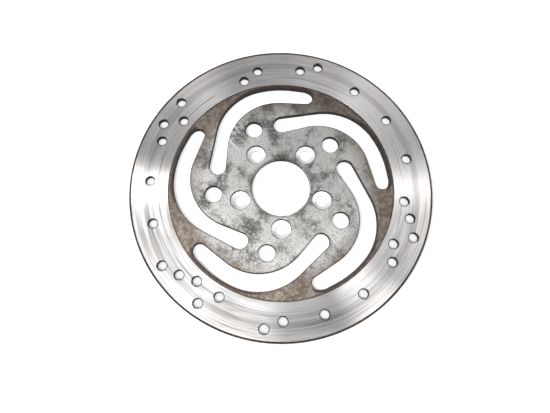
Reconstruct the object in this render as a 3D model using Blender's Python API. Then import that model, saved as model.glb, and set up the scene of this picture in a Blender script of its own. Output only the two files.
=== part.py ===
"""Motorcycle brake disc, cut from one flat steel plate.

The disc lies on its back face with its centre at the origin and its axle along +Z.
Sizes are in millimetres and degrees, and become metres when the mesh is made.
"""

import math

import bmesh
import bpy

MM = 0.001
FLAT = 0.055  # how far a facet may stand off its true arc

# Plate
DISC_RADIUS = 146.05
THICKNESS = 5.1
RIM_CHAMFER = 0.5
BORE_RADIUS = 28.0
BORE_CHAMFER = 1.2

# Friction track: the band on each face that the pads have worn down a little
TRACK_INNER = 108.8
TRACK_OUTER = 144.6
TRACK_WEAR = 0.15
TRACK_STEP = 0.2  # width of the slope at each edge of the band

# Everything inside the track repeats five times
REPEATS = 5
TURN = 360 / REPEATS

# Bolt holes: a sunk seat for the bolt's head, a shallow cone and a clearance hole
BOLT_CIRCLE = 41.275
BOLT_ANGLE = -90.0
SEAT_RADIUS = 9.4
SEAT_CHAMFER = 0.3
SEAT_DEPTH = 2.6
CONE_DEPTH = 1.3
BOLT_HOLE_RADIUS = 5.2

# Plain lightening holes
PLAIN_CIRCLE = 65.5
PLAIN_ANGLE = -30.0
PLAIN_RADIUS = 8.2

# Corners of one cooling slot, each with the radius that rounds it
SLOT_CORNERS = (
    (-71.1, 15.3, 8.4),
    (-54.5, 10.6, 7.8),
    (-49.0, 91.5, 50.0),
    (44.4, 87.3, 6.4),
    (26.9, 102.1, 14.7),
    (-4.3, 106.8, 92.7),
    (-57.2, 93.7, 55.2),
)

# Drilled holes of the track: the angle where each group starts and the row of each of its holes.
# I, M and O are the inner, middle and outer rows.
HOLE_RADIUS = 4.3
ROWS = {"I": 119.1, "M": 126.6, "O": 134.1}
STEP_BESIDE_MIDDLE = 7.4
STEP_ACROSS = 6.1
HOLE_GROUPS = (
    (13.3, "M"),
    (33.5, "M"),
    (53.5, "M"),
    (73.4, "OM"),
    (100.7, "MI"),
    (138.3, "OIOM"),
    (177.1, "M"),
    (196.4, "M"),
    (214.4, "OMIOI"),
    (263.2, "OM"),
    (288.1, "M"),
    (306.5, "M"),
    (324.9, "MIOMI"),
)

STEEL_COLOUR = (0.56, 0.55, 0.54, 1)
STEEL_ROUGHNESS = 0.34
STEEL_METALLIC = 1.0


def clear_scene():
    for obj in list(bpy.data.objects):
        bpy.data.objects.remove(obj, do_unlink=True)


def facet_angle(radius):
    """The widest angle that one straight facet may take on an arc."""
    return 2 * math.acos(1 - FLAT / radius)


def polar(radius, degrees):
    angle = math.radians(degrees)
    return radius * math.cos(angle), radius * math.sin(angle)


def circle(radius, centre=(0, 0), like=None):
    """Points round a circle. like is the radius that sets their number, when two rings are to join."""
    count = 4 * math.ceil(math.tau / facet_angle(like or radius) / 4)
    turns = [math.tau * i / count for i in range(count)]
    return [(centre[0] + radius * math.cos(a), centre[1] + radius * math.sin(a)) for a in turns]


def rounded_corner(before, corner, after):
    """Points along the arc that rounds one corner of an outline."""
    x, y, radius = corner
    back = math.atan2(before[1] - y, before[0] - x)
    ahead = math.atan2(after[1] - y, after[0] - x)
    opening = (ahead - back + math.pi) % math.tau - math.pi
    middle = back + opening / 2
    reach = radius / math.sin(abs(opening) / 2)
    centre_x = x + reach * math.cos(middle)
    centre_y = y + reach * math.sin(middle)
    sweep = math.copysign(math.pi - abs(opening), -opening)
    start = middle + math.pi - sweep / 2
    count = math.ceil(abs(sweep) / facet_angle(radius))
    angles = [start + sweep * i / count for i in range(count + 1)]
    return [(centre_x + radius * math.cos(a), centre_y + radius * math.sin(a)) for a in angles]


def rounded_outline(corners):
    points = []
    for i, corner in enumerate(corners):
        points += rounded_corner(corners[i - 1], corner, corners[(i + 1) % len(corners)])
    return points


def turned(points, degrees):
    angle = math.radians(degrees)
    cos, sin = math.cos(angle), math.sin(angle)
    return [(x * cos - y * sin, x * sin + y * cos) for x, y in points]


def hole_places():
    """Centres of the drilled holes. A group's holes follow each other round the track."""
    places = []
    for angle, rows in HOLE_GROUPS:
        for i, row in enumerate(rows):
            if i:
                angle += STEP_BESIDE_MIDDLE if "M" in rows[i - 1] + row else STEP_ACROSS
            places.append(polar(ROWS[row], angle))
    return places


def add_wall(mesh, rings):
    """Join rings of equal length, given as (points, height), top to bottom. Returns their edges."""
    levels = [[mesh.verts.new((x * MM, y * MM, z * MM)) for x, y in points] for points, z in rings]
    for upper, lower in zip(levels, levels[1:]):
        for i in range(len(upper)):
            mesh.faces.new((upper[i - 1], upper[i], lower[i], lower[i - 1]))
    return ring_edges(mesh, levels[0]), ring_edges(mesh, levels[-1])


def ring_edges(mesh, verts):
    return [mesh.edges.get((verts[i - 1], verts[i])) for i in range(len(verts))]


def fill_face(mesh, rings):
    """Close a flat face that lies between its outlines."""
    edges = [edge for ring in rings for edge in ring]
    bmesh.ops.triangle_fill(mesh, use_beauty=True, edges=edges, normal=(0, 0, 1))


def rim_levels():
    """Rings from the track's outer edge on the front, round the rim, to the same edge on the back."""
    worn_top = THICKNESS - TRACK_WEAR
    profile = (
        (TRACK_OUTER - TRACK_STEP, worn_top),
        (TRACK_OUTER, THICKNESS),
        (DISC_RADIUS - RIM_CHAMFER, THICKNESS),
        (DISC_RADIUS, THICKNESS - RIM_CHAMFER),
        (DISC_RADIUS, RIM_CHAMFER),
        (DISC_RADIUS - RIM_CHAMFER, 0),
        (TRACK_OUTER, 0),
        (TRACK_OUTER - TRACK_STEP, TRACK_WEAR),
    )
    return [(circle(radius, like=DISC_RADIUS), z) for radius, z in profile]


def track_edge_levels(carrier_z, track_z):
    """The slope between the carrier's face and the worn track, at the track's inner edge."""
    inner = circle(TRACK_INNER, like=DISC_RADIUS)
    outer = circle(TRACK_INNER + TRACK_STEP, like=DISC_RADIUS)
    return [(inner, carrier_z), (outer, track_z)]


def bore_levels():
    flared = circle(BORE_RADIUS + BORE_CHAMFER, like=BORE_RADIUS)
    straight = circle(BORE_RADIUS)
    return [
        (flared, THICKNESS),
        (straight, THICKNESS - BORE_CHAMFER),
        (straight, BORE_CHAMFER),
        (flared, 0),
    ]


def bolt_hole_levels(centre):
    profile = (
        (SEAT_RADIUS + SEAT_CHAMFER, THICKNESS),
        (SEAT_RADIUS, THICKNESS - SEAT_CHAMFER),
        (SEAT_RADIUS, THICKNESS - SEAT_DEPTH),
        (BOLT_HOLE_RADIUS, THICKNESS - SEAT_DEPTH - CONE_DEPTH),
        (BOLT_HOLE_RADIUS, 0),
    )
    return [(circle(radius, centre, like=SEAT_RADIUS), z) for radius, z in profile]


def straight_levels(points, top, bottom):
    return [(points, top), (points, bottom)]


def carrier_openings():
    """Levels of every opening inside the track: the bore, bolt holes, plain holes and slots."""
    slot = rounded_outline(SLOT_CORNERS)
    openings = [bore_levels()]
    for i in range(REPEATS):
        openings.append(bolt_hole_levels(polar(BOLT_CIRCLE, BOLT_ANGLE + i * TURN)))
        plain = circle(PLAIN_RADIUS, polar(PLAIN_CIRCLE, PLAIN_ANGLE + i * TURN))
        openings.append(straight_levels(plain, THICKNESS, 0))
        openings.append(straight_levels(turned(slot, i * TURN), THICKNESS, 0))
    return openings


def steel():
    material = bpy.data.materials.new("disc_steel")
    material.use_nodes = True
    shader = material.node_tree.nodes["Principled BSDF"]
    shader.inputs["Base Color"].default_value = STEEL_COLOUR
    shader.inputs["Roughness"].default_value = STEEL_ROUGHNESS
    shader.inputs["Metallic"].default_value = STEEL_METALLIC
    return material


def brake_disc():
    mesh = bmesh.new()
    worn_top = THICKNESS - TRACK_WEAR

    # Carrier: its two faces reach out to the track's inner edge
    edges = [add_wall(mesh, levels) for levels in carrier_openings()]
    front_inner, front_track = add_wall(mesh, track_edge_levels(THICKNESS, worn_top))
    back_inner, back_track = add_wall(mesh, track_edge_levels(0, TRACK_WEAR))
    fill_face(mesh, [top for top, _ in edges] + [front_inner])
    fill_face(mesh, [bottom for _, bottom in edges] + [back_inner])

    # Track: its two faces lie between that edge and the rim, drilled through
    track = [
        add_wall(mesh, straight_levels(circle(HOLE_RADIUS, centre), worn_top, TRACK_WEAR))
        for centre in hole_places()
    ]
    rim_top, rim_bottom = add_wall(mesh, rim_levels())
    fill_face(mesh, [top for top, _ in track] + [front_track, rim_top])
    fill_face(mesh, [bottom for _, bottom in track] + [back_track, rim_bottom])

    bmesh.ops.recalc_face_normals(mesh, faces=mesh.faces)
    data = bpy.data.meshes.new("brake_disc")
    mesh.to_mesh(data)
    mesh.free()
    data.materials.append(steel())
    data.shade_smooth()
    data.set_sharp_from_angle(angle=math.radians(20))
    disc = bpy.data.objects.new("brake_disc", data)
    bpy.context.scene.collection.objects.link(disc)
    return disc


clear_scene()
brake_disc()
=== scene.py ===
import math

import bmesh
import bpy
import numpy as np
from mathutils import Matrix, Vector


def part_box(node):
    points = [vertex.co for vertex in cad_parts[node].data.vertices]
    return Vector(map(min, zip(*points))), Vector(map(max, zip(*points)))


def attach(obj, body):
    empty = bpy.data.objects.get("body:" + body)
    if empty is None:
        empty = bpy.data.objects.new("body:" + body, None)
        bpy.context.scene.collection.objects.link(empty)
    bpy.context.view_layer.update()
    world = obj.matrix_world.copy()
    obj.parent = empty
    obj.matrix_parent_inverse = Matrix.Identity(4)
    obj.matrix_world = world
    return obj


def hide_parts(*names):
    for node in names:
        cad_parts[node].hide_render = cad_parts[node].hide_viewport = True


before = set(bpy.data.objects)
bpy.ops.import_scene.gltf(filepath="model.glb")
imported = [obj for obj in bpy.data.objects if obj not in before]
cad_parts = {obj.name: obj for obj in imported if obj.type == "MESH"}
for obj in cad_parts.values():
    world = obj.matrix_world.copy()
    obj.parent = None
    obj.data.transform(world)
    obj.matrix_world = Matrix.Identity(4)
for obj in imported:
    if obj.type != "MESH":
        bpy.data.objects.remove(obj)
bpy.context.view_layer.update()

# Lengths are in millimetres and angles in degrees until a mesh, a light or the camera is made.
mm = 0.001
lowest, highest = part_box("brake_disc")
discRadius = (highest.x - lowest.x) / 2 / mm
thickness = (highest.z - lowest.z) / mm
print("frame loaded: disc", round(2 * discRadius, 1), "mm across,", round(thickness, 2), "mm thick")


def roundedPath(corners, closed, turnStep=6.0, longest=3.0):
    # A path of straight runs whose corners are replaced by arcs that touch both runs.
    # An arc's centre lies on the corner's bisector, radius / sin(half the opening) away.
    # Gives the points and the unit normals that point to the right of travel.
    points, normals = [], []
    for i, (x, y, radius) in enumerate(corners):
        if not closed and i in (0, len(corners) - 1):
            near = corners[1] if i == 0 else corners[-2]
            run = np.array([near[0] - x, near[1] - y]) * (1 if i == 0 else -1)
            run = run / np.hypot(*run)
            points.append(np.array([[x, y]]))
            normals.append(np.array([[run[1], -run[0]]]))
            continue
        before, after = corners[i - 1], corners[(i + 1) % len(corners)]
        back = math.atan2(before[1] - y, before[0] - x)
        ahead = math.atan2(after[1] - y, after[0] - x)
        opening = (ahead - back + math.pi) % math.tau - math.pi
        bisector = back + opening / 2
        reach = radius / math.sin(abs(opening) / 2)
        sweep = math.copysign(math.pi - abs(opening), -opening)
        step = min(math.radians(turnStep), longest / radius)
        count = max(2, math.ceil(abs(sweep) / step))
        angles = bisector + math.pi + sweep * (np.arange(count + 1) / count - 0.5)
        outward = np.column_stack([np.cos(angles), np.sin(angles)])
        centre = np.array([x + reach * math.cos(bisector), y + reach * math.sin(bisector)])
        points.append(centre + radius * outward)
        normals.append(outward * math.copysign(1, sweep))
    return np.vstack(points), np.vstack(normals)


def roundOutline(radius, count, centre=(0, 0), clockwise=False):
    # centre + radius * (cos, sin) of equal steps. The normal on the right of travel points
    # away from the centre, or towards it when the travel is clockwise.
    angles = math.tau * np.arange(count) / count * (-1 if clockwise else 1)
    outward = np.column_stack([np.cos(angles), np.sin(angles)])
    return np.array(centre) + radius * outward, outward * (-1 if clockwise else 1)


def turned(outline, degrees):
    angle = math.radians(degrees)
    turn = np.array([[math.cos(angle), math.sin(angle)], [-math.sin(angle), math.cos(angle)]])
    return outline[0] @ turn, outline[1] @ turn


def atRadius(radius, degrees):
    angle = math.radians(degrees)
    return radius * math.cos(angle), radius * math.sin(angle)


class DiscShape:
    # Vertices, normals and faces of the whole disc, gathered as arrays.
    def __init__(self):
        self.points, self.normals, self.grimeAndShade, self.quads, self.finishes = [], [], [], [], []
        self.count = 0

    def sweep(self, outline, profile, finishes, keep=None, margin=0.0, grimeAndShade=0.0):
        # A profile of (distance into the metal, height) carried along a closed outline:
        # place = outline + normal * distance, and the profile's own normal is turned with it.
        # With a margin the edge value fades from 1 at the edge to 0 at the margin's far side; it drives
        # grime on the carrier and painted shade round the drilled holes.
        (path, across), (section, facing) = outline, profile
        places = path[:, None, :] + across[:, None, :] * section[None, :, :1]
        heights = np.broadcast_to(section[None, :, 1:], places.shape[:2] + (1,))
        directions = across[:, None, :] * facing[None, :, :1]
        rises = np.broadcast_to(facing[None, :, 1:], heights.shape)
        points = np.concatenate([places, heights], axis=2)
        rows, columns = points.shape[:2]
        number = np.arange(rows * columns).reshape(rows, columns)
        onward = np.roll(number, -1, axis=0)
        quads = np.stack([number[:, :-1], onward[:, :-1], onward[:, 1:], number[:, 1:]], axis=2)
        used = np.ones(quads.shape[:2], bool)
        if keep is not None:
            used = keep(points).ravel()[quads].all(axis=2)
        finish = np.broadcast_to(np.asarray(finishes)[None, :], used.shape)
        self.points.append(points.reshape(-1, 3))
        self.normals.append(np.concatenate([directions, rises], axis=2).reshape(-1, 3))
        fade = 1 - section[:, 0] / section[:, 0].max() if margin else np.full(columns, grimeAndShade)
        self.grimeAndShade.append(np.broadcast_to(fade[None, :], (rows, columns)).ravel())
        self.quads.append(quads[used] + self.count)
        self.finishes.append(finish[used])
        self.count += rows * columns


disc = {
    "turn": 72,             # everything inside the track repeats five times
    "trackInner": 108.8,    # the pads' band on each face
    "trackOuter": 144.6,
    "wearDepth": 0.15,      # how much the pads have taken off each face
    "wearSlope": 0.45,      # width of the slope at each edge of that band
    "rimRound": 0.45,
    "around": 560,          # facets round the rim
    "ringStep": 1.5,        # spacing of the rings of the track
}

# Deeper score rings in the track: radius, half width and depth
scoreRings = np.array([
    (111.6, 0.55, 0.016), (114.9, 0.45, 0.012), (117.4, 0.60, 0.022), (120.3, 0.50, 0.015),
    (123.2, 0.40, 0.010), (128.4, 0.70, 0.026), (130.2, 0.50, 0.020), (132.7, 0.45, 0.012),
    (137.3, 0.50, 0.014), (141.6, 0.55, 0.016),
])

bore = {"radius": 28.0, "flare": 1.2, "edge": 0.12, "facets": 160}

bolts = {
    "circle": 41.275, "angle": -90.0, "facets": 72,
    "seatRadius": 9.4, "seatDepth": 2.6, "holeRadius": 5.2, "coneDepth": 1.3, "edge": 0.4,
}

plainHoles = {
    "circle": 65.5, "angle": -30.0, "radius": 8.2, "edge": 0.35, "margin": 1.6, "facets": 72,
}

# Corners of one cooling slot, each with the radius that rounds it
slots = {
    "corners": (
        (-71.1, 15.3, 8.4), (-54.5, 10.6, 7.8), (-49.0, 91.5, 50.0), (44.4, 87.3, 6.4),
        (26.9, 102.1, 14.7), (-4.3, 106.8, 92.7), (-57.2, 93.7, 55.2),
    ),
    "edge": 0.4, "margin": 2.9,
}

# Drilled holes of the track: the angle where each group starts and the row of each of its holes
drilled = {
    "radius": 4.3, "edge": 0.45, "facets": 40,
    "rows": {"I": 119.1, "M": 126.6, "O": 134.1},
    "stepBesideMiddle": 7.4, "stepAcross": 6.1,
    "groups": (
        (13.3, "M"), (33.5, "M"), (53.5, "M"), (73.4, "OM"), (100.7, "MI"), (138.3, "OIOM"),
        (177.1, "M"), (196.4, "M"), (214.4, "OMIOI"), (263.2, "OM"), (288.1, "M"), (306.5, "M"),
        (324.9, "MIOMI"),
    ),
    "clear": 0.75,          # how far the track's own grid stays off a hole's edge
}

trackFinish, carrierFinish, cutFinish, seatFinish, rimFinish = range(5)


def smoothStep(value):
    value = np.clip(value, 0, 1)
    return value * value * (3 - 2 * value)


def wornDepth(radius):
    # The pads' band is a little lower than the rest, with a soft step at each edge, and each
    # score ring takes a cosine-shaped groove out of it.
    into = smoothStep((radius - disc["trackInner"]) / disc["wearSlope"])
    out = smoothStep((disc["trackOuter"] - radius) / disc["wearSlope"])
    ring, halfWidth, depth = scoreRings.T
    away = np.clip(np.abs(radius[..., None] - ring) / halfWidth, 0, 1)
    grooves = (depth * (0.5 + 0.5 * np.cos(math.pi * away))).sum(axis=-1)
    return into * out * (disc["wearDepth"] + grooves)


def holeCentres():
    places = []
    for angle, rows in drilled["groups"]:
        for i, row in enumerate(rows):
            if i:
                beside = "M" in rows[i - 1] + row
                angle += drilled["stepBesideMiddle"] if beside else drilled["stepAcross"]
            places.append(atRadius(drilled["rows"][row], angle))
    return np.array(places)


def straightThrough(edge, margin=0.0):
    # A wall from face to face with both of its edges rounded, and a margin of each flat face
    corners = ((edge, thickness, 0), (0, thickness, edge), (0, 0, edge), (edge, 0, 0))
    section, facing = roundedPath(corners, closed=False, turnStep=30)
    if margin:
        steps = edge + margin * np.array([1.0, 0.5])
        top = np.column_stack([steps, np.full(2, thickness)])
        section = np.vstack([top, section, np.column_stack([steps[::-1], np.zeros(2)])])
        facing = np.vstack([[[0, 1]] * 2, facing, [[0, -1]] * 2])
    return section, facing


def wallFinishes(profile, faceFinish, wallFinish):
    tipped = np.abs(profile[1][:, 1]) < 0.99
    return np.where(tipped[:-1] | tipped[1:], wallFinish, faceFinish)


def addBand(shape, centres):
    # Track and rim in one: rings over the front face, round the rim and back over the rear face
    inner, outer = disc["trackInner"], disc["trackOuter"]
    slope = disc["wearSlope"] * np.array([0, 0.35, 0.65, 1.0])
    grooves = (scoreRings[:, :1] + scoreRings[:, 1:2] * np.array([[-1, 0, 1]])).ravel()
    plain = np.arange(inner + disc["ringStep"], outer - disc["ringStep"] / 2, disc["ringStep"])
    plain = plain[np.abs(plain[:, None] - grooves[None, :]).min(axis=1) > disc["ringStep"] / 3]
    rings = np.sort(np.concatenate([inner + slope, grooves, plain, outer - slope]))
    depths = (discRadius - rings)[:, None]
    front = np.hstack([depths, np.full_like(depths, thickness)])
    rear = np.hstack([depths, np.zeros_like(depths)])[::-1]
    corner = disc["rimRound"]
    start = discRadius - outer
    corners = ((start, thickness, 0), (0, thickness, corner), (0, 0, corner), (start, 0, 0))
    rimPoints, rimNormals = roundedPath(corners, closed=False, turnStep=22.5)
    section = np.vstack([front, rimPoints[1:-1], rear])
    up = np.tile([0.0, 1.0], (len(front), 1))
    facing = np.vstack([up, rimNormals[1:-1], -up])
    middle = (section[:-1, 0] + section[1:, 0]) / 2
    finishes = np.where(middle < discRadius - outer + disc["wearSlope"] / 2, rimFinish, trackFinish)
    finishes = np.where(middle > discRadius - inner - disc["wearSlope"], carrierFinish, finishes)

    def clearOfHoles(points):
        away = np.hypot(points[..., 0, None] - centres[:, 0], points[..., 1, None] - centres[:, 1])
        return away.min(axis=-1) > drilled["radius"] + drilled["edge"] + drilled["clear"]

    rim = roundOutline(discRadius, disc["around"], clockwise=True)
    shape.sweep(rim, (section, facing), finishes, keep=clearOfHoles)


def addBore(shape):
    flare, edge = bore["flare"], bore["edge"]
    corners = (
        (flare + edge, thickness, 0), (flare, thickness, edge), (0, thickness - flare, edge),
        (0, flare, edge), (flare, 0, edge), (flare + edge, 0, 0),
    )
    profile = roundedPath(corners, closed=False, turnStep=22.5)
    flared = np.abs(np.diff(profile[0], axis=0)[:, 0]) > bore["edge"]
    finishes = np.where(flared, carrierFinish, cutFinish)
    shape.sweep(roundOutline(bore["radius"], bore["facets"]), profile, finishes, grimeAndShade=1.0)


def addBoltHole(shape, centre):
    # A sunk seat with a straight wall, a shallow cone in its floor and a clearance hole
    wide = bolts["seatRadius"] - bolts["holeRadius"]
    edge, floor = bolts["edge"], thickness - bolts["seatDepth"]
    corners = (
        (wide + edge, thickness, 0), (wide, thickness, edge), (wide, floor, 0.25),
        (0, floor - bolts["coneDepth"], 0.25), (0, 0, edge), (edge, 0, 0),
    )
    profile = roundedPath(corners, closed=False, turnStep=22.5)
    finishes = wallFinishes(profile, carrierFinish, cutFinish)
    heights = (profile[0][:-1, 1] + profile[0][1:, 1]) / 2
    onSeat = (heights < floor + 0.2) & (heights > floor - bolts["coneDepth"] - 0.05)
    finishes = np.where(onSeat & (np.abs(profile[1][:-1, 1]) > 0.3), seatFinish, finishes)
    shape.sweep(roundOutline(bolts["holeRadius"], bolts["facets"], centre), profile, finishes)


def addStraightHole(shape, outline, edge, faceFinish, margin=0.0, grimeAndShade=0.0):
    profile = straightThrough(edge, margin)
    finishes = wallFinishes(profile, faceFinish, cutFinish)
    shape.sweep(outline, profile, finishes, margin=margin, grimeAndShade=grimeAndShade)


def wearFaces(points, normals):
    # Both faces sink by wornDepth(radius), and their normals tip by its slope along the radius
    radius = np.hypot(points[:, 0], points[:, 1])
    depth = wornDepth(radius)
    step = 0.02
    slope = (wornDepth(radius + step) - wornDepth(radius - step)) / (2 * step)
    front = points[:, 2] > thickness / 2
    points[:, 2] += np.where(front, -depth, depth)
    outward = points[:, :2] / radius[:, None]
    normals[:, :2] += outward * (slope * np.abs(normals[:, 2]) ** 4)[:, None]
    return points, normals / np.linalg.norm(normals, axis=1)[:, None]


def fillFace(shape, edges, facing, finish):
    made = bmesh.ops.triangle_fill(shape, use_beauty=True, edges=edges, normal=(0, 0, facing))
    for face in made["geom"]:
        if isinstance(face, bmesh.types.BMFace):
            face.material_index = finish
            face.smooth = True


def closeFaces(mesh, centres):
    # Every open edge belongs either to one of the carrier's faces or to the gap round one hole
    shape = bmesh.new()
    shape.from_mesh(mesh)
    gaps = {}
    for edge in shape.edges:
        if edge.is_boundary:
            middle = (edge.verts[0].co + edge.verts[1].co) / 2 / mm
            facing = 1 if middle.z > thickness / 2 else -1
            hole = -1
            if math.hypot(middle.x, middle.y) > disc["trackInner"] + 0.01:
                hole = int(np.hypot(centres[:, 0] - middle.x, centres[:, 1] - middle.y).argmin())
            gaps.setdefault((facing, hole), []).append(edge)
    for (facing, hole), edges in gaps.items():
        fillFace(shape, edges, facing, carrierFinish if hole < 0 else trackFinish)
    bmesh.ops.recalc_face_normals(shape, faces=shape.faces)
    shape.to_mesh(mesh)
    shape.free()


def discMesh():
    centres = holeCentres()
    shape = DiscShape()
    addBand(shape, centres)
    addBore(shape)
    slot = roundedPath(slots["corners"], closed=True)
    for i in range(round(360 / disc["turn"])):
        turn = i * disc["turn"]
        addBoltHole(shape, atRadius(bolts["circle"], bolts["angle"] + turn))
        place = atRadius(plainHoles["circle"], plainHoles["angle"] + turn)
        ring = roundOutline(plainHoles["radius"], plainHoles["facets"], place)
        addStraightHole(shape, ring, plainHoles["edge"], carrierFinish, plainHoles["margin"])
        addStraightHole(shape, turned(slot, turn), slots["edge"], carrierFinish, slots["margin"])
    for centre in centres:
        outline = roundOutline(drilled["radius"], drilled["facets"], centre)
        # An edge value of 1 here gives the painted shade round each drilled hole in the track
        addStraightHole(shape, outline, drilled["edge"], trackFinish, grimeAndShade=1.0)

    points, normals = wearFaces(np.vstack(shape.points), np.vstack(shape.normals))
    quads = np.vstack(shape.quads)
    used = np.unique(quads)
    number = np.zeros(len(points), int)
    number[used] = np.arange(len(used))
    mesh = bpy.data.meshes.new("brakeDisc")
    mesh.from_pydata(points[used] * mm, [], number[quads])
    mesh.polygons.foreach_set("material_index", np.concatenate(shape.finishes).astype(np.int32))
    mesh.polygons.foreach_set("use_smooth", np.ones(len(quads), bool))
    grimeAndShade = mesh.attributes.new("edgeGrimeAndShade", "FLOAT", "POINT")
    grimeAndShade.data.foreach_set("value", np.concatenate(shape.grimeAndShade)[used].astype(np.float32))
    closeFaces(mesh, centres)
    mesh.update()
    mesh.normals_split_custom_set_from_vertices(normals[used])
    mesh.calc_loop_triangles()
    print("disc mesh:", len(mesh.vertices), "vertices,", len(mesh.loop_triangles), "triangles")
    return mesh


brakeDisc = bpy.data.objects.new("brakeDisc", discMesh())
bpy.context.scene.collection.objects.link(brakeDisc)
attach(brakeDisc, "root")
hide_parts("brake_disc")


def addNode(tree, kind, inputs=None, **settings):
    # Inputs are given by name or number: an output socket is linked, anything else is set
    node = tree.nodes.new(kind)
    for name, value in settings.items():
        setattr(node, name, value)
    for key, value in (inputs or {}).items():
        if isinstance(value, bpy.types.NodeSocket):
            tree.links.new(value, node.inputs[key])
        else:
            node.inputs[key].default_value = value
    return node


def maths(tree, operation, first, second=0.0, third=0.0, clamp=False):
    inputs = {0: first, 1: second, 2: third}
    return addNode(tree, "ShaderNodeMath", inputs, operation=operation, use_clamp=clamp).outputs[0]


def mixed(tree, amount, first, second, blend="MIX"):
    node = addNode(tree, "ShaderNodeMix", data_type="RGBA", blend_type=blend)
    for key, value in ((0, amount), (6, first), (7, second)):
        if isinstance(value, bpy.types.NodeSocket):
            tree.links.new(value, node.inputs[key])
        else:
            node.inputs[key].default_value = value if key == 0 else (*value, 1)
    return node.outputs[2]


def between(tree, value, low, high, toLow=0.0, toHigh=1.0):
    # Smooth step: low and below gives toLow, high and above gives toHigh
    inputs = {"Value": value, "From Min": low, "From Max": high, "To Min": toLow, "To Max": toHigh}
    node = addNode(tree, "ShaderNodeMapRange", inputs, interpolation_type="SMOOTHSTEP")
    return node.outputs["Result"]


def newGroup(name, inputs, outputs):
    tree = bpy.data.node_groups.new(name, "ShaderNodeTree")
    for socketName, kind, value in inputs:
        socket = tree.interface.new_socket(socketName, in_out="INPUT", socket_type=kind)
        if value is not None:
            socket.default_value = value
    for socketName in outputs:
        tree.interface.new_socket(socketName, in_out="OUTPUT", socket_type="NodeSocketFloat")
    return tree, tree.nodes.new("NodeGroupInput"), tree.nodes.new("NodeGroupOutput")


def discPolarGroup():
    # Radius from the axle in metres, and a point that goes round with the angle but has no seam
    vector = [("Vector", "NodeSocketVector", None)]
    tree, given, result = newGroup("discPolar", vector, ["Radius"])
    tree.interface.new_socket("Around", in_out="OUTPUT", socket_type="NodeSocketVector")
    flat = addNode(
        tree, "ShaderNodeVectorMath", {0: given.outputs[0], 1: (1, 1, 0)}, operation="MULTIPLY"
    )
    length = addNode(tree, "ShaderNodeVectorMath", {0: flat.outputs[0]}, operation="LENGTH")
    unit = addNode(tree, "ShaderNodeVectorMath", {0: flat.outputs[0]}, operation="NORMALIZE")
    tree.links.new(length.outputs["Value"], result.inputs["Radius"])
    tree.links.new(unit.outputs[0], result.inputs["Around"])
    return tree


def ringGrainGroup(polar):
    # Concentric score lines: noise that changes quickly along the radius and slowly round the disc
    tree, given, result = newGroup(
        "ringGrain",
        [
            ("Vector", "NodeSocketVector", None), ("LinesPerMetre", "NodeSocketFloat", 1500.0),
            ("Wander", "NodeSocketFloat", 2.0), ("Detail", "NodeSocketFloat", 3.0),
        ],
        ["Lines"],
    )
    where = addNode(tree, "ShaderNodeGroup", node_tree=polar)
    tree.links.new(given.outputs["Vector"], where.inputs["Vector"])
    along = addNode(
        tree, "ShaderNodeVectorMath", {0: where.outputs["Around"]}, operation="SCALE"
    )
    tree.links.new(given.outputs["Wander"], along.inputs["Scale"])
    height = maths(tree, "MULTIPLY", where.outputs["Radius"], given.outputs["LinesPerMetre"])
    lift = addNode(tree, "ShaderNodeCombineXYZ", {"Z": height})
    place = addNode(
        tree, "ShaderNodeVectorMath", {0: along.outputs[0], 1: lift.outputs[0]}, operation="ADD"
    )
    noise = addNode(
        tree, "ShaderNodeTexNoise",
        {"Vector": place.outputs[0], "Scale": 1.0, "Detail": given.outputs["Detail"], "Roughness": 0.6},
    )
    tree.links.new(noise.outputs[0], result.inputs["Lines"])
    return tree


def blotchGroup():
    # Soft-edged patches: noise of a given size, cut between a low and a high level
    tree, given, result = newGroup(
        "blotches",
        [
            ("Vector", "NodeSocketVector", None), ("PatchesPerMetre", "NodeSocketFloat", 100.0),
            ("Detail", "NodeSocketFloat", 4.0), ("Low", "NodeSocketFloat", 0.4),
            ("High", "NodeSocketFloat", 0.6), ("Seed", "NodeSocketFloat", 0.0),
        ],
        ["Mask"],
    )
    noise = addNode(
        tree, "ShaderNodeTexNoise",
        {
            "Vector": given.outputs["Vector"], "W": given.outputs["Seed"],
            "Scale": given.outputs["PatchesPerMetre"], "Detail": given.outputs["Detail"],
            "Roughness": 0.6,
        },
        noise_dimensions="4D",
    )
    mask = between(tree, noise.outputs[0], given.outputs["Low"], given.outputs["High"])
    tree.links.new(mask, result.inputs["Mask"])
    return tree


def scratchGroup():
    # Straight scratches: noise stretched along one direction, of which only the peaks are kept
    tree, given, result = newGroup(
        "scratches",
        [
            ("Vector", "NodeSocketVector", None), ("Direction", "NodeSocketFloat", 0.0),
            ("LinesPerMetre", "NodeSocketFloat", 900.0), ("PerMetreAlong", "NodeSocketFloat", 60.0),
            ("Low", "NodeSocketFloat", 0.62), ("High", "NodeSocketFloat", 0.7),
        ],
        ["Mask"],
    )
    turn = addNode(
        tree, "ShaderNodeVectorRotate",
        {"Vector": given.outputs["Vector"], "Angle": given.outputs["Direction"]},
        rotation_type="Z_AXIS",
    )
    stretch = addNode(
        tree, "ShaderNodeCombineXYZ",
        {"X": given.outputs["PerMetreAlong"], "Y": given.outputs["LinesPerMetre"], "Z": 60.0},
    )
    place = addNode(
        tree, "ShaderNodeVectorMath", {0: turn.outputs[0], 1: stretch.outputs[0]}, operation="MULTIPLY"
    )
    noise = addNode(
        tree, "ShaderNodeTexNoise", {"Vector": place.outputs[0], "Scale": 1.0, "Detail": 1.0}
    )
    mask = between(tree, noise.outputs[0], given.outputs["Low"], given.outputs["High"])
    tree.links.new(mask, result.inputs["Mask"])
    return tree


discPolar = discPolarGroup()
ringGrain = ringGrainGroup(discPolar)
blotches = blotchGroup()
scratches = scratchGroup()


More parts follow.
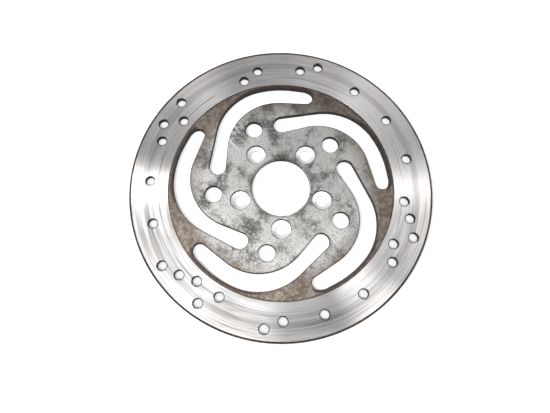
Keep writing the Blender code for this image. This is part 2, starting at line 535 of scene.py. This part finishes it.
class Finish:
    # One material: a Principled shader with Object coordinates and the shared groups at hand
    def __init__(self, name):
        self.material = bpy.data.materials.new(name)
        self.material.use_nodes = True
        self.tree = self.material.node_tree
        self.shader = self.tree.nodes["Principled BSDF"]
        self.shader.inputs["Metallic"].default_value = 1.0
        self.place = addNode(self.tree, "ShaderNodeTexCoord").outputs["Object"]
        self.radius = self.group(discPolar).outputs["Radius"]
        self.grimeAndShade = addNode(self.tree, "ShaderNodeAttribute", attribute_name="edgeGrimeAndShade").outputs["Fac"]

    def group(self, tree, **inputs):
        node = addNode(self.tree, "ShaderNodeGroup", node_tree=tree)
        self.tree.links.new(self.place, node.inputs["Vector"])
        for name, value in inputs.items():
            node.inputs[name].default_value = value
        return node

    def lines(self, **inputs):
        return self.group(ringGrain, **inputs).outputs["Lines"]

    def patches(self, **inputs):
        return self.group(blotches, **inputs).outputs["Mask"]

    def scored(self, **inputs):
        return self.group(scratches, **inputs).outputs["Mask"]

    def math(self, operation, first, second=0.0, third=0.0, clamp=False):
        return maths(self.tree, operation, first, second, third, clamp)

    def between(self, value, low, high, toLow=0.0, toHigh=1.0):
        return between(self.tree, value, low, high, toLow, toHigh)

    def mix(self, amount, first, second, blend="MIX"):
        return mixed(self.tree, amount, first, second, blend)

    def near(self, x, y, reach):
        # 1 at a place on the disc given in millimetres, fading to 0 at its reach
        apart = addNode(
            self.tree, "ShaderNodeVectorMath", {0: self.place, 1: (x * mm, y * mm, thickness * mm)},
            operation="DISTANCE",
        )
        return self.between(apart.outputs["Value"], reach * mm, 0.0)

    def belt(self, inner, outer, fade):
        # 1 between two radii in metres, fading out over the given width
        inside = self.between(self.radius, inner - fade, inner)
        return self.math("MULTIPLY", inside, self.between(self.radius, outer + fade, outer))

    def dull(self, specular):
        # Scale is not bare metal: it scatters light and hardly shines
        self.shader.inputs["Metallic"].default_value = 0.0
        self.shader.inputs["Specular IOR Level"].default_value = specular

    def feed(self, socket, value):
        self.tree.links.new(value, self.shader.inputs[socket])

    def bump(self, height, distance, strength=1.0):
        node = addNode(
            self.tree, "ShaderNodeBump", {"Height": height, "Distance": distance, "Strength": strength}
        )
        self.feed("Normal", node.outputs[0])

    def radialTangent(self):
        node = addNode(self.tree, "ShaderNodeTangent", direction_type="RADIAL", axis="Z")
        self.feed("Tangent", node.outputs[0])


def trackSteel():
    # Steel polished by the pads: score lines all round, belts that are scored deeper, a painted highlight
    # over the lower inner part of the track, and painted shade at the lip and round each drilled hole
    steel = {
        "bright": (0.90, 0.90, 0.90), "dull": (0.58, 0.575, 0.58), "line": (0.24, 0.23, 0.23),
        "warm": (1.0, 0.975, 0.955), "cool": (1.0, 0.985, 0.975), "heat": (0.80, 0.72, 0.66),
        "paintedHighlight": (0.98, 0.98, 0.98), "edge": (0.06, 0.055, 0.05),
        # belts that are scored deeper: two radii in metres and the width of the fade
        "outerBelt": (0.1285, 0.1325, 0.003), "innerBelt": (0.1165, 0.1195, 0.002),
        "duskyBelt": (0.1290, 0.1315, 0.0035),
    }
    f = Finish("trackSteel")
    hair = f.lines(LinesPerMetre=2600.0, Wander=5.0, Detail=2.0)
    fine = f.lines(LinesPerMetre=900.0, Wander=2.0, Detail=3.0)
    broad = f.lines(LinesPerMetre=250.0, Wander=0.9, Detail=4.0)
    shade = f.math("ADD", f.math("MULTIPLY", hair, 0.35), f.math("MULTIPLY", fine, 0.45))
    shade = f.math("ADD", shade, f.math("MULTIPLY", broad, 0.2))
    colour = f.mix(f.between(shade, 0.38, 0.60), steel["dull"], steel["bright"])
    belts = f.math("MAXIMUM", f.belt(*steel["outerBelt"]), f.belt(*steel["innerBelt"]))
    threads = f.between(fine, 0.46, 0.36)
    deep = f.math("MULTIPLY", threads, f.between(belts, 0.0, 1.0, 0.22, 0.65))
    deep = f.math("MAXIMUM", deep, f.math("MULTIPLY", f.belt(*steel["duskyBelt"]), 0.34))
    colour = f.mix(deep, colour, steel["line"])
    # Painted highlight: the lower side of the inner track is brightened towards white
    highlightSweep = f.math("MULTIPLY", f.near(20.0, -125.0, 125.0), f.between(f.radius, 0.124, 0.114))
    colour = f.mix(f.math("MULTIPLY", highlightSweep, 0.9), colour, steel["paintedHighlight"])
    tint = f.mix(f.between(f.radius, 0.114, 0.128), steel["cool"], steel["warm"])
    colour = f.mix(1.0, colour, tint, "MULTIPLY")
    hot = f.math("MULTIPLY", f.near(-33.0, -132.0, 26.0), f.between(fine, 0.4, 0.6))
    colour = f.mix(f.math("MULTIPLY", hot, 0.4), colour, steel["heat"])
    pits = f.patches(PatchesPerMetre=700.0, Detail=2.0, Low=0.66, High=0.72, Seed=7.0)
    pitted = f.math("MAXIMUM", f.near(103.0, -92.0, 16.0), f.near(-128.0, -62.0, 15.0))
    colour = f.mix(f.math("MULTIPLY", pits, pitted), colour, steel["line"])
    # Painted shade: a dark ring round each drilled hole's edge, where the hole's wall lies in shade
    colour = f.mix(f.between(f.grimeAndShade, 0.35, 0.95, 0.0, 0.9), colour, steel["edge"])
    # Painted shade: the track darkens just inside the lip, in place of the shadow and wall past the rim's
    # edge
    lip = f.between(f.radius, 0.1437, 0.1446, 0.0, 0.9)
    colour = f.mix(lip, colour, steel["edge"])
    f.feed("Base Color", colour)
    f.feed("Roughness", f.between(shade, 0.38, 0.60, 0.46, 0.31))
    f.shader.inputs["Anisotropic"].default_value = 1.0
    f.shader.inputs["Anisotropic Rotation"].default_value = 0.25
    f.radialTangent()
    f.bump(shade, 0.00003)
    return f.material


def carrierSteel():
    # Unswept steel: cloudy grey with bright rubbed patches, stained brown towards the track and
    # burnt dark beside the slots
    steel = {
        "dark": (0.13, 0.126, 0.12), "grey": (0.60, 0.59, 0.575), "bright": (1.0, 0.985, 0.96),
        "stain": (0.150, 0.112, 0.083), "ochre": (0.50, 0.39, 0.26), "burnt": (0.060, 0.044, 0.040),
    }
    f = Finish("carrierSteel")
    cloud = f.patches(PatchesPerMetre=40.0, Detail=8.0, Low=0.38, High=0.56)
    rubbed = f.patches(PatchesPerMetre=110.0, Detail=8.0, Low=0.50, High=0.66, Seed=3.0)
    grain = f.patches(PatchesPerMetre=560.0, Detail=3.0, Low=0.38, High=0.62, Seed=5.0)
    colour = f.mix(cloud, steel["dark"], steel["grey"])
    colour = f.mix(f.math("MULTIPLY", rubbed, 0.8), colour, steel["bright"])
    colour = f.mix(f.between(grain, 0.0, 0.5, 0.45, 0.0), colour, steel["dark"])
    colour = f.mix(f.between(grain, 0.6, 1.0, 0.0, 0.35), colour, steel["bright"])
    outwards = f.between(f.radius, 0.072, 0.098)
    stainSpots = f.patches(PatchesPerMetre=240.0, Detail=5.0, Low=0.36, High=0.62, Seed=8.0)
    stain = f.math("MULTIPLY", outwards, f.between(stainSpots, 0.0, 1.0, 0.72, 0.95))
    colour = f.mix(stain, colour, steel["stain"])
    ochreSpots = f.patches(PatchesPerMetre=300.0, Detail=4.0, Low=0.54, High=0.68, Seed=11.0)
    amount = f.between(f.near(4.0, -102.0, 34.0), 0.0, 0.6, 0.40, 0.95)
    ochre = f.math("MULTIPLY", f.math("MULTIPLY", outwards, ochreSpots), amount)
    colour = f.mix(ochre, colour, steel["ochre"])
    burnt = f.math("MULTIPLY", f.between(f.radius, 0.1070, 0.1086), 0.75)
    colour = f.mix(burnt, colour, steel["burnt"])
    thin = f.math("MULTIPLY", f.between(f.grimeAndShade, 0.55, 0.95), f.between(f.radius, 0.05, 0.095, 0.4, 0.9))
    wide = f.math("MULTIPLY", f.between(f.grimeAndShade, 0.0, 0.4), f.between(f.radius, 0.100, 0.105, 0.0, 0.85))
    colour = f.mix(f.math("MAXIMUM", thin, wide), colour, steel["burnt"])
    marks = f.scored(Direction=0.9, LinesPerMetre=900.0, PerMetreAlong=55.0, Low=0.58, High=0.66)
    where = f.math("MAXIMUM", f.near(-48.0, 52.0, 24.0), f.near(-22.0, 46.0, 16.0))
    where = f.math("MAXIMUM", where, f.near(46.0, -50.0, 15.0))
    colour = f.mix(f.math("MULTIPLY", marks, where), colour, steel["bright"])
    f.feed("Base Color", colour)
    rough = f.math("SUBTRACT", f.between(grain, 0.0, 1.0, 0.56, 0.46), f.math("MULTIPLY", rubbed, 0.08))
    f.feed("Roughness", rough)
    f.bump(f.math("ADD", grain, f.math("MULTIPLY", cloud, 1.5)), 0.000012)
    return f.material


def cutSteel():
    # Walls of the holes and slots: dark scale darkened to near black as painted shade, with streaks that
    # run through the plate
    scale = {"dark": (0.012, 0.010, 0.010), "light": (0.045, 0.040, 0.038)}
    f = Finish("cutSteel")
    streaks = f.patches(PatchesPerMetre=420.0, Detail=4.0, Low=0.35, High=0.7, Seed=2.0)
    f.feed("Base Color", f.mix(streaks, scale["dark"], scale["light"]))
    f.feed("Roughness", f.between(streaks, 0.0, 1.0, 0.8, 0.65))
    f.dull(0.12)
    f.bump(streaks, 0.00004)
    return f.material


def seatSteel():
    # Machined seats: clean bright steel that scatters most of its light
    steel = {"bright": (0.72, 0.72, 0.71), "dull": (0.52, 0.515, 0.505)}
    f = Finish("seatSteel")
    wear = f.patches(PatchesPerMetre=300.0, Detail=4.0, Low=0.50, High=0.75, Seed=6.0)
    f.feed("Base Color", f.mix(wear, steel["bright"], steel["dull"]))
    f.feed("Roughness", f.between(wear, 0.0, 1.0, 0.32, 0.42))
    f.shader.inputs["Metallic"].default_value = 0.3
    f.bump(wear, 0.00002)
    return f.material


def rimSteel():
    # The lip that the pads don't reach and the rim's wall: dark scale with some rust
    scale = {"dark": (0.020, 0.017, 0.016), "worn": (0.055, 0.05, 0.045), "rust": (0.12, 0.055, 0.022)}
    f = Finish("rimSteel")
    worn = f.patches(PatchesPerMetre=180.0, Detail=5.0, Low=0.48, High=0.75, Seed=4.0)
    rust = f.patches(PatchesPerMetre=60.0, Detail=5.0, Low=0.48, High=0.72, Seed=9.0)
    colour = f.mix(worn, scale["dark"], scale["worn"])
    colour = f.mix(f.math("MULTIPLY", rust, 0.6), colour, scale["rust"])
    f.feed("Base Color", colour)
    f.feed("Roughness", f.between(worn, 0.0, 1.0, 0.7, 0.5))
    f.dull(0.2)
    f.bump(worn, 0.00005)
    return f.material


for material in (trackSteel(), carrierSteel(), cutSteel(), seatSteel(), rimSteel()):
    brakeDisc.data.materials.append(material)
print("finishes:", len(brakeDisc.data.materials))


studio = {
    "floorSize": 6.0, "floorColour": (0.86, 0.86, 0.86), "floorGlow": 0.2, "floorDrop": 0.05,
    "skyLevel": 0.05, "distance": 2.2,
    # each soft box: azimuth and elevation it shines from, the half angles it covers across and
    # up, and the light it gives a surface that faces it
    "boxes": (
        ("leftWindow", 161.0, 34.0, 5.0, 7.0, 1.9),
        ("leftEdge", 192.0, 34.0, 5.0, 7.0, 0.5),
        ("leftHigh", 166.0, 58.0, 4.5, 6.0, 0.35),
        ("frontLeft", 206.0, 58.0, 10.0, 6.0, 1.0),
        ("frontBank", 235.0, 70.0, 12.0, 5.0, 0.6),
        ("frontRight", 270.0, 70.0, 14.0, 5.0, 0.4),
        ("rightWindow", 4.0, 46.0, 14.0, 6.0, 0.85),
        ("rightBox", 324.0, 46.0, 14.0, 6.0, 0.45),
        ("rightHigh", 330.0, 60.0, 6.0, 5.0, 0.45),
        ("backStrip", 118.0, 11.0, 27.0, 5.0, 1.85),
    ),
}


viewpoint = {
    "lens": 33.3, "clip": (0.01, 50), "place": (-7.4, -143.2, 474.9), "turn": (14.79, -0.18, -0.07),
}


def makeFloor():
    half = studio["floorSize"] / 2
    corners = np.array([(-half, -half), (half, -half), (half, half), (-half, half)])
    mesh = bpy.data.meshes.new("floor")
    mesh.from_pydata(np.column_stack([corners, np.full(4, -studio["floorDrop"] * mm)]), [], [(0, 1, 2, 3)])
    floor = bpy.data.objects.new("floor", mesh)
    bpy.context.scene.collection.objects.link(floor)
    material = bpy.data.materials.new("floorPaper")
    material.use_nodes = True
    shader = material.node_tree.nodes["Principled BSDF"]
    shader.inputs["Base Color"].default_value = (*studio["floorColour"], 1)
    shader.inputs["Roughness"].default_value = 0.9
    shader.inputs["Specular IOR Level"].default_value = 0.0
    shader.inputs["Emission Color"].default_value = (1, 1, 1, 1)
    shader.inputs["Emission Strength"].default_value = studio["floorGlow"]
    mesh.materials.append(material)


def makeSky():
    world = bpy.data.worlds.new("studio")
    bpy.context.scene.world = world
    world.use_nodes = True
    background = world.node_tree.nodes["Background"]
    background.inputs["Color"].default_value = (1, 1, 1, 1)
    background.inputs["Strength"].default_value = studio["skyLevel"]


def makeLights():
    for name, azimuth, elevation, halfAcross, halfUp, level in studio["boxes"]:
        light = bpy.data.lights.new(name, "AREA")
        light.shape = "RECTANGLE"
        light.size = 2 * studio["distance"] * math.tan(math.radians(halfAcross))
        light.size_y = 2 * studio["distance"] * math.tan(math.radians(halfUp))
        light.energy = level * math.pi * studio["distance"] ** 2
        lamp = bpy.data.objects.new(name, light)
        flat, rise = math.cos(math.radians(elevation)), math.sin(math.radians(elevation))
        lamp.location = np.array([*atRadius(flat, azimuth), rise]) * studio["distance"]
        lamp.rotation_euler = (math.radians(90 - elevation), 0, math.radians(azimuth + 90))
        bpy.context.scene.collection.objects.link(lamp)


def makeCamera():
    camera = bpy.data.cameras.new("camera")
    camera.lens = viewpoint["lens"]
    camera.clip_start, camera.clip_end = viewpoint["clip"]
    viewer = bpy.data.objects.new("camera", camera)
    viewer.location = [place * mm for place in viewpoint["place"]]
    viewer.rotation_euler = [math.radians(angle) for angle in viewpoint["turn"]]
    bpy.context.scene.collection.objects.link(viewer)
    bpy.context.scene.camera = viewer


makeFloor()
makeSky()
makeLights()
makeCamera()
bpy.context.scene.view_settings.view_transform = "Standard"
print("studio ready")
